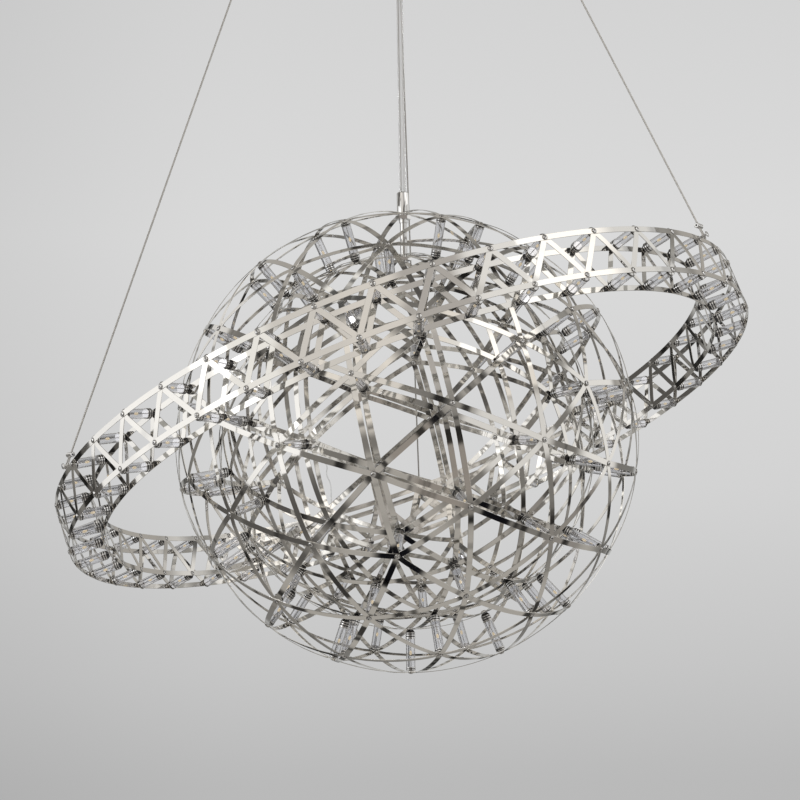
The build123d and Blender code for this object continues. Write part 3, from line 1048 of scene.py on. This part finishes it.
@dataclass
class Suspension:
    """Cables with their clamps and wire loops, and the clear centre cord."""

    ring: Ring
    grippers: GripperPlan
    hoop_face: float = 332.8 * MM
    loop_stand: float = 3.6 * MM
    neck: float = 6.6 * MM
    thread_root: float = 1.0 * MM
    thread_crest: float = 1.2 * MM
    thread_step: float = 0.25 * MM
    head_radius: float = 2.7 * MM
    clamp_rise: float = 10 * MM
    clamp_length: float = 10.5 * MM
    clamp_radius: float = 2.3 * MM
    wire_radius: float = 0.6 * MM
    loop_half_width: float = 2.2 * MM
    loop_drop: float = 2.8 * MM
    cord_half_width: float = 3.0 * MM
    cord_half_depth: float = 1.5 * MM
    cord_waist: float = 0.86
    core_radius: float = 0.4 * MM
    cable: StrandedCable = StrandedCable()
    body: str = "canopy_and_ring"

    def cables(self) -> None:
        """Stretch the three cables and fit their clamps, loops and studs."""
        clamps = MeshKit("cable_clamp_barrels", [CHROME, DARK_GROOVE])
        loops = MeshKit("cable_wire_loops_bent", [CABLE_STEEL])
        studs = MeshKit("ring_hanger_screws", [CHROME, DARK_GROOVE])
        tips = self.grippers.tips()
        for (name, top), third in zip(tips, turns(len(tips))):
            turn = self.ring.hanger_turn + third
            outward = self.ring.outward(turn)
            face = self.ring.point(self.hoop_face, turn, self.ring.half_height)
            hook = face + outward * self.loop_stand
            up_cable = unit(top - hook)
            across = unit(np.cross(up_cable, outward))
            self.stud(studs, face, outward)
            self.loop(loops, hook, across, up_cable)
            grip = hook + up_cable * self.clamp_rise
            self.clamp(clamps, grip, across)
            self.cable.stretch(f"{name}_cable", top, grip)
        clamps.build(self.body, Slot.CHROME, ["cable_clamps"])
        loops.build(self.body, Slot.CABLE, ["cable_wire_loops"])
        studs.build(self.body, Slot.CHROME, ["ring_hanger_studs"])

    def stud(self, kit: MeshKit, face: Point, outward: Point) -> None:
        """Turn a hanger screw with its thread and domed head.

        Args:
            kit: Mesh that receives it.
            face: Point on the hoop's face.
            outward: Unit vector out of the ring.
        """
        neck, head = self.neck, self.head_radius
        radii, count = (self.thread_root, self.thread_crest), int(self.neck / self.thread_step)
        thread = [(radii[k % 2], k * self.thread_step) for k in range(count)]
        dome = [(head, neck), (head, neck + 0.3 * MM), (0.85 * head, neck + 0.8 * MM)]
        dome += [(0.45 * head, neck + 1.15 * MM), (0.3 * head, neck + 1.15 * MM)]
        dome += [(0.28 * head, neck + 0.5 * MM)]
        rings = thread + dome
        marks = [0] * (len(rings) - 2) + [1]
        kit.turned(face, outward, rings, sides=18, marks=marks)

    def loop(self, kit: MeshKit, hook: Point, across: Point, up_cable: Point) -> None:
        """Bend the wire loop that hangs the ring's stud from the clamp.

        Args:
            kit: Mesh that receives it.
            hook: Middle of the stud's neck.
            across: Unit vector across the loop.
            up_cable: Unit vector towards the clamp.
        """
        wide, drop = self.loop_half_width, self.loop_drop
        bend = [(wide * cos(a), -drop + wide + wide * sin(a)) for a in np.linspace(0, -pi, 13)]
        right = [(0.62 * wide, self.clamp_rise - 1 * MM), (0.86 * wide, 5 * MM), (wide, 2 * MM)]
        left = [(-u, v) for u, v in reversed(right)]
        route = [hook + across * u + up_cable * v for u, v in [*right, *bend, *left]]
        kit.tube(route, np.cross(across, up_cable), self.wire_radius)

    def clamp(self, kit: MeshKit, centre: Point, across: Point) -> None:
        """Turn the cross barrel that grips the cable and its loop.

        Args:
            kit: Mesh that receives it.
            centre: Middle of the barrel.
            across: Unit vector along it.
        """
        full, half = self.clamp_radius, self.clamp_length / 2
        end = [(0.35 * full, -half + 0.9 * MM), (0.4 * full, -half), (0.8 * full, -half)]
        end += [(full, -half + 0.4 * MM), (full, -0.45 * half), (0.9 * full, -0.42 * half)]
        end += [(0.9 * full, -0.34 * half), (full, -0.31 * half)]
        rings = end + [(radius, -height) for radius, height in reversed(end)]
        dark = (0, 5, len(rings) - 7, len(rings) - 2)
        marks = [int(span in dark) for span in range(len(rings) - 1)]
        kit.turned(centre, across, rings, sides=20, marks=marks)

    def centre_cord(self) -> None:
        """Hang the clear flat cord with its two cores, one tinned and one in a pale sleeve."""
        foot, top = (on_axis(corner[2]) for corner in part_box("centre_cord"))
        jacket = MeshKit("centre_cord_jacket", [CORD_JACKET])
        cores = MeshKit("centre_cord_cores", [CORE_SLEEVE, TINNED])
        half, deep = self.cord_half_width, self.cord_half_depth
        section = []
        for angle in turns(28):
            across = cos(angle)
            lobe = np.sign(across) * (half - deep) if abs(across) > 0.2 else 0.0
            waist = self.cord_waist if abs(across) < 0.3 else 1.0
            section.append((lobe + deep * across, deep * waist * sin(angle), 0))
        jacket.skin([top + (foot - top) * share + section for share in np.linspace(0, 1, 9)])
        for side in (-1, 1):
            middle = np.array([side * (half - deep), 0, 0])
            core = [(self.core_radius, 0), (self.core_radius, top[2] - foot[2])]
            cores.turned(foot + middle, UP, core, sides=14, marks=int(side < 0))
        wire = cores.build("cord", Slot.CABLE)
        piece = jacket.build("cord", Slot.CORD, ["centre_cord"], crease=60)

    def build(self) -> None:
        """Make the whole suspension."""
        self.centre_cord()
        self.cables()


# ---- Canopy ------------------------------------------------------------------------------------


@dataclass
class Canopy:
    """Polished ceiling cover with the cord grip, the cable grippers and the cap nuts."""

    grippers: GripperPlan
    radius: float = 170 * MM
    height: float = 45 * MM
    wall: float = 1.5 * MM
    edge: float = 5 * MM
    lip: float = 0.4 * MM
    flat_rings: tuple[float, ...] = (1 * MM, 60 * MM, 120 * MM)
    cap_nut_spacing: float = 170 * MM
    body: str = "canopy_and_ring"

    def __post_init__(self) -> None:
        """Find the cover's face."""
        self.face = on_axis(-self.height)

    def cover(self) -> None:
        """Spin the cover with its rolled edge."""
        kit = MeshKit("canopy_cover_spun", [CANOPY_STEEL])
        bend = [
            (self.radius - self.edge + self.edge * sin(a), self.edge * (1 - cos(a)))
            for a in np.linspace(0, pi / 2, 9)
        ]
        rim = [(self.radius, self.height - self.lip), (self.radius - self.lip, self.height)]
        rim += [(self.radius - self.wall, self.height)]
        inner = [(radius - self.wall, height + self.wall) for radius, height in reversed(bend)]
        middle = [(radius, 0.0) for radius in self.flat_rings]
        lid = [(radius, self.wall) for radius in reversed(self.flat_rings)]
        kit.turned(self.face, UP, [*middle, *bend, *rim, *inner, *lid], sides=128)
        kit.build(self.body, Slot.CANOPY, ["canopy_cover"])

    def gripper_pieces(self) -> None:
        """Turn the gripper bodies and their plungers."""
        bodies = MeshKit("gripper_bodies_turned", [CHROME, DARK_GROOVE])
        barrel = [(3.5, 0), (5.2, 0), (5.5, 0.3), (5.5, 4.0), (5.1, 4.1), (5.1, 4.9), (5.5, 5.0)]
        barrel += [(5.5, 20.6), (4.7, 22), (3.45, 22), (3.45, 14)]
        barrel_marks = [0, 0, 0, 0, 1, 0, 0, 0, 0, 1]
        tube = [(0.9, 4), (0.9, 0.5), (1.3, 0), (2.6, 0), (3.05, 0.25), (3.3, 0.8), (3.3, 4.4)]
        tube += [(3.1, 4.5), (3.1, 5.0), (3.3, 5.1), (3.3, 14)]
        tube_marks = [1, 1] + [0] * (len(tube) - 3)
        for name, tip in self.grippers.tips():
            seat = np.array([tip[0], tip[1], -self.height])
            bodies.turned(seat, DOWN, in_mm(barrel), sides=28, marks=barrel_marks)
            plunger = MeshKit(f"{name}_plunger_turned", [CHROME, DARK_GROOVE])
            plunger.turned(tip, UP, in_mm(tube), sides=24, marks=tube_marks)
            plunger.build(f"{name}_plunger", Slot.CHROME, [f"{name}_gripper_plunger"])
        bodies.build(self.body, Slot.CHROME, ["gripper_bodies"])

    def small_parts(self) -> None:
        """Turn the cord grip and the cap nuts."""
        grip = MeshKit("cord_grip_turned", [CHROME, DARK_GROOVE])
        rings = [(4.5, 0), (7.2, 0), (7.5, 0.3), (7.5, 2.6), (7.2, 2.8), (7.2, 3.2), (7.5, 3.4)]
        rings += [(7.5, 8.6), (7.2, 9.0), (4.7, 15.7), (4.3, 16), (3.4, 16), (3.3, 12)]
        marks = [0, 0, 0, 0, 1, 0, 0, 0, 0, 0, 0, 1]
        grip.turned(self.face, DOWN, in_mm(rings), sides=32, marks=marks)
        grip.build(self.body, Slot.CHROME, ["cord_grip"])
        nuts = MeshKit("canopy_cap_nuts", [CHROME])
        dome = [(4.4, 0), (4.5, 0.2), (4.5, 1.0), (4.0, 1.2)]
        dome += [(4.0 * cos(a), 1.2 + 3.6 * sin(a)) for a in np.linspace(0.1, 1.45, 8)]
        for side in (-1, 1):
            foot = np.array([side * self.cap_nut_spacing / 2, 0, -self.height])
            nuts.turned(foot, DOWN, in_mm(dome), sides=24)
        nuts.build(self.body, Slot.CHROME, ["canopy_screws"])

    def build(self) -> None:
        """Make the canopy and what it carries."""
        self.cover()
        self.gripper_pieces()
        self.small_parts()


CAD_FINISHES: dict[str, Finish] = {
    "ceiling_bracket": ZINC,
    "canopy_standoffs": ZINC,
    "gripper_nuts": ZINC,
    "cord_grip_nut": ZINC,
    "orb_stem_nuts": CHROME,
    "led_driver": WHITE_PLASTIC,
    "terminal_block": NYLON,
}


def dress_nodes() -> None:
    """Give the CAD nodes that stay in view their materials."""
    for name, finish in CAD_FINISHES.items():
        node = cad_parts[name]
        node.data.materials.clear()
        node.data.materials.append(dressed(finish))
        log.info("%s: dressed as %s", name, finish.name)


# ---- Camera, light and stage -------------------------------------------------------------------


@dataclass(frozen=True)
class Panel:
    """A round patch of the studio that the polished steel reflects."""

    toward: tuple[float, float, float]
    spread: float
    softness: float
    colour: Colour


WHITE = (1.0, 0.985, 0.95)
DUSK = (0.44, 0.42, 0.39)
PEARL = (0.90, 0.885, 0.86)
CREAM = (0.92, 0.87, 0.80)
SILVER = (0.80, 0.785, 0.76)
TAUPE = (0.33, 0.30, 0.27)
SHADE = (0.105, 0.100, 0.094)
BLACK = (0.006, 0.006, 0.008)
STUDIO_PANELS = (
    Panel((0, 0, -1), 42, 12, DUSK),
    Panel((0.4, 0.75, -0.5), 22, 12, DUSK),
    Panel((0, 1, 0.1), 40, 18, (0.21, 0.205, 0.195)),
    Panel((-0.25, 0.62, 0.75), 24, 12, DUSK),
    Panel((0, 1, 0.0), 20, 10, (0.50, 0.50, 0.49)),
    Panel((0.53, 0.73, 0.42), 14, 6, DUSK),
    Panel((-0.6, 0.7, 0.38), 10, 5, SILVER),
    Panel((0.8, 0.05, 0.5), 20, 10, (0.32, 0.31, 0.29)),
    Panel((0.62, -0.5, 0.62), 22, 10, CREAM),
    Panel((0.6, -0.75, 0.4), 13, 8, DUSK),
    Panel((-0.45, -0.75, 0.45), 22, 10, CREAM),
    Panel((-0.83, -0.1, -0.5), 16, 8, SHADE),
    Panel((-0.6, -0.6, -0.45), 10, 8, SHADE),
    Panel((-0.95, 0.32, -0.12), 12, 5, SHADE),
    Panel((0.25, -0.9, -0.35), 16, 8, TAUPE),
    Panel((-0.25, -0.9, -0.45), 12, 8, DUSK),
    Panel((0.85, 0.2, -0.3), 14, 6, (0.30, 0.28, 0.26)),
    Panel((0, -1, -0.02), 10, 6, TAUPE),
    Panel((0.30, -1, 0.05), 5, 2, BLACK),
    Panel((-0.16, -1, 0.06), 4, 2, BLACK),
    Panel((0.1, -0.1, 1), 14, 8, SHADE),
    Panel((-0.35, -0.2, 0.9), 10, 5, WHITE),
    Panel((0.62, -0.5, -0.62), 7, 3, BLACK),
    Panel((-0.1, -0.4, -1), 9, 4, BLACK),
)
CLEAR_PANELS = (
    Panel((0.92, 0.30, 0.17), 17, 7, PEARL),
    Panel((0.80, -0.62, 0.03), 17, 7, SILVER),
    Panel((0.38, -0.66, 0.64), 8, 8, (0.66, 0.64, 0.61)),
    Panel((0.11, -0.80, 0.59), 12, 6, (0.50, 0.475, 0.45)),
    Panel((0.50, -0.58, 0.66), 10, 6, PEARL),
    Panel((-0.18, -0.85, 0.50), 8, 5, (0.80, 0.76, 0.71)),
    Panel((-0.50, -0.76, 0.40), 9, 6, (0.74, 0.71, 0.67)),
    Panel((-0.78, -0.58, 0.24), 10, 5, WHITE),
)


@dataclass(frozen=True)
class SoftLight:
    """A soft light that faces the orb."""

    name: str
    place: tuple[float, float, float]
    width: float
    height: float
    power: float
    mirrored: bool


SOFT_LIGHTS = (
    SoftLight("softbox_left", (-1.6, -0.36, -0.40), 1.72, 1.20, 6.0, True),
    SoftLight("softbox_right", (1.4, -0.42, 0.68), 1.75, 0.9, 2.5, True),
    SoftLight("key_high", (-2.4, -1.4, 1.2), 1.4, 1.4, 6, False),
    SoftLight("fill_right", (2.0, -2.0, 1.0), 1.0, 1.0, 8, False),
    SoftLight("top", (-0.9, -0.5, 2.2), 0.9, 0.9, 10, False),
)


@dataclass(frozen=True)
class Studio:
    """Camera at the photograph's angle, soft light and a pale room."""

    image_size: int = 800
    focal_pixels: float = 2047.6
    eye: tuple[float, float, float] = (-5.95 * MM, -1908.5 * MM, -692.8 * MM)
    pitch: float = radians(5.27)
    roll: float = radians(0.956)
    floor_height: float = -2.6
    floor_radius: float = 3.2
    aim_height: float = -0.5
    backdrop_side: float = 0.86
    backdrop_turn: tuple[float, float] = (-0.26, -0.06)
    backdrop: tuple[tuple[float, float], ...] = (
        (-0.30, 0.44),
        (-0.09, 0.49),
        (-0.04, 0.56),
        (0.045, 0.65),
        (0.17, 0.70),
        (0.28, 0.655),
        (0.60, 0.56),
    )
    studio_grey: Colour = (0.22, 0.21, 0.195)
    clutter_scale: float = 5.0
    clutter_edge: tuple[float, float] = (0.38, 0.45)
    clutter_shade: float = 0.10

    def camera(self) -> None:
        """Place the camera."""
        data = bpy.data.cameras.new("photo_camera")
        data.sensor_width = 36.0
        data.lens = data.sensor_width * self.focal_pixels / self.image_size
        data.clip_start, data.clip_end = 0.05, 60
        camera = bpy.data.objects.new("photo_camera", data)
        pitched = Matrix.Rotation(pi / 2 + self.pitch, 4, "X")
        upright = pitched @ Matrix.Rotation(-self.roll, 4, "Z")
        camera.matrix_world = Matrix.Translation(Vector(self.eye)) @ upright
        bpy.context.scene.collection.objects.link(camera)
        bpy.context.scene.camera = camera

    def soft_light(self, light: SoftLight) -> None:
        """Hang a soft light that faces the orb.

        Args:
            light: Its name, place, size and power.
        """
        data = bpy.data.lights.new(light.name, "AREA")
        data.shape, data.size, data.size_y = "RECTANGLE", light.width, light.height
        data.energy = light.power
        lamp = bpy.data.objects.new(light.name, data)
        lamp.location, lamp.visible_glossy = light.place, light.mirrored
        aim = Vector((0, 0, self.aim_height)) - lamp.location
        lamp.rotation_mode = "QUATERNION"
        lamp.rotation_quaternion = aim.to_track_quat("-Z", "Y")
        bpy.context.scene.collection.objects.link(lamp)

    def build(self) -> None:
        """Make the camera, the lights, the world and the floor."""
        bpy.context.scene.view_settings.view_transform = "Standard"
        self.camera()
        for light in SOFT_LIGHTS:
            self.soft_light(light)
        self.world()
        self.floor()

    def world(self) -> None:
        """Pale room for the eye, a studio of bright and dark panels for the metal."""
        world = bpy.data.worlds.new("studio")
        bpy.context.scene.world = world
        world.use_nodes = True
        world.node_tree.nodes.clear()
        graph = Graph(world.node_tree)
        place = graph.add("ShaderNodeTexCoord").outputs["Generated"]
        split = graph.add("ShaderNodeSeparateXYZ", {0: place}).outputs
        halved = {0: split["Z"], 1: 0.5, 2: 0.5}
        height = graph.add("ShaderNodeMath", halved, operation="MULTIPLY_ADD").outputs[0]
        pale = graph.add("ShaderNodeValToRGB", {"Fac": height})
        elements = pale.color_ramp.elements
        elements.remove(elements[1])
        for index, (level, shade) in enumerate(self.backdrop):
            element = elements.new(0.5 + level / 2) if index else elements[0]
            element.position = 0.5 + level / 2
            element.color = (shade, shade, shade, 1)
        limits = {**self.limits(self.backdrop_turn), "To Min": self.backdrop_side}
        side = self.smooth_range(graph, split["X"], limits)
        shaded = {0: pale.outputs["Color"], "Scale": side}
        room = graph.add("ShaderNodeVectorMath", shaded, operation="SCALE").outputs["Vector"]
        glossy = graph.add("ShaderNodeLightPath").outputs["Is Glossy Ray"]
        seen = {"Factor": glossy, "A": room, "B": self.reflected(graph, place)}
        mix = graph.add("ShaderNodeMix", seen, data_type="RGBA")
        back = graph.add("ShaderNodeBackground", {"Color": mix.outputs["Result"]})
        graph.add("ShaderNodeOutputWorld", {"Surface": back.outputs[0]})

    def limits(self, pair: tuple[float, float]) -> dict[str, float]:
        """The two values that a range starts from."""
        return {"From Min": pair[0], "From Max": pair[1]}

    def smooth_range(
        self, graph: Graph, value: bpy.types.NodeSocket, limits: dict[str, float]
    ) -> bpy.types.NodeSocket:
        """Spread a value smoothly between two limits.

        Args:
            graph: The world's graph.
            value: Socket of the value.
            limits: Inputs of the range.

        Returns:
            Socket of the result.
        """
        inputs = {"Value": value, **limits}
        node = graph.add("ShaderNodeMapRange", inputs, interpolation_type="SMOOTHSTEP")
        return node.outputs["Result"]

    def laid_over(
        self,
        graph: Graph,
        direction: bpy.types.NodeSocket,
        under: bpy.types.NodeSocket | tuple[float, ...],
        panel: Panel,
    ) -> bpy.types.NodeSocket:
        """Lay one panel over the studio so far.

        Args:
            graph: The world's graph.
            direction: Socket that gives the direction looked in.
            under: Colour that the panel is laid over, or its socket.
            panel: The panel to add.

        Returns:
            Socket of the new colour.
        """
        facing = {0: direction, 1: unit(panel.toward)}
        toward = graph.add("ShaderNodeVectorMath", facing, operation="DOT_PRODUCT")
        reach = (cos(radians(panel.spread + panel.softness)), cos(radians(panel.spread)))
        edge = self.smooth_range(graph, toward.outputs["Value"], self.limits(reach))
        layers = {"Factor": edge, "A": under, "B": (*panel.colour, 1)}
        return graph.add("ShaderNodeMix", layers, data_type="RGBA").outputs["Result"]

    def reflected(self, graph: Graph, direction: bpy.types.NodeSocket) -> bpy.types.NodeSocket:
        """Build the studio that the metal mirrors: walls with dark clutter, and clear panels.

        Args:
            graph: The world's graph.
            direction: Socket that gives the direction looked in.

        Returns:
            Socket of the reflected colour.
        """
        colour = (*self.studio_grey, 1)
        for panel in STUDIO_PANELS:
            colour = self.laid_over(graph, direction, colour, panel)
        noise = {"Vector": direction, "Scale": self.clutter_scale, "Detail": 2.0}
        clutter = graph.add("ShaderNodeTexNoise", noise).outputs["Fac"]
        limits = {**self.limits(self.clutter_edge), "To Min": self.clutter_shade}
        dim = graph.add("ShaderNodeMapRange", {"Value": clutter, **limits}).outputs["Result"]
        shaded = {0: colour, "Scale": dim}
        colour = graph.add("ShaderNodeVectorMath", shaded, operation="SCALE").outputs["Vector"]
        for panel in CLEAR_PANELS:
            colour = self.laid_over(graph, direction, colour, panel)
        return colour

    def floor(self) -> None:
        """Lay a round pale floor under the object."""
        flat = circle(turns(96), np.array([1.0, 0, 0]), np.array([0, 1.0, 0]))
        rim = flat * self.floor_radius + UP * self.floor_height
        mesh = bpy.data.meshes.new("floor")
        mesh.from_pydata(rim.tolist(), [], [tuple(range(len(rim)))])
        floor = bpy.data.objects.new("floor", mesh)
        floor.visible_glossy = False
        bpy.context.scene.collection.objects.link(floor)
        mesh.materials.append(PlasticFinish("floor_paper", (0.62, 0.62, 0.62), 0.8).material())


def main() -> None:
    """Build the scene, piece by piece."""
    logging.basicConfig(level=logging.INFO, format="%(name)s: %(message)s")
    Studio().build()
    Orb().build()
    ring, grippers = Ring(), GripperPlan()
    ring.build()
    Suspension(ring, grippers).build()
    Canopy(grippers).build()
    dress_nodes()


if __name__ == "__main__":
    main()
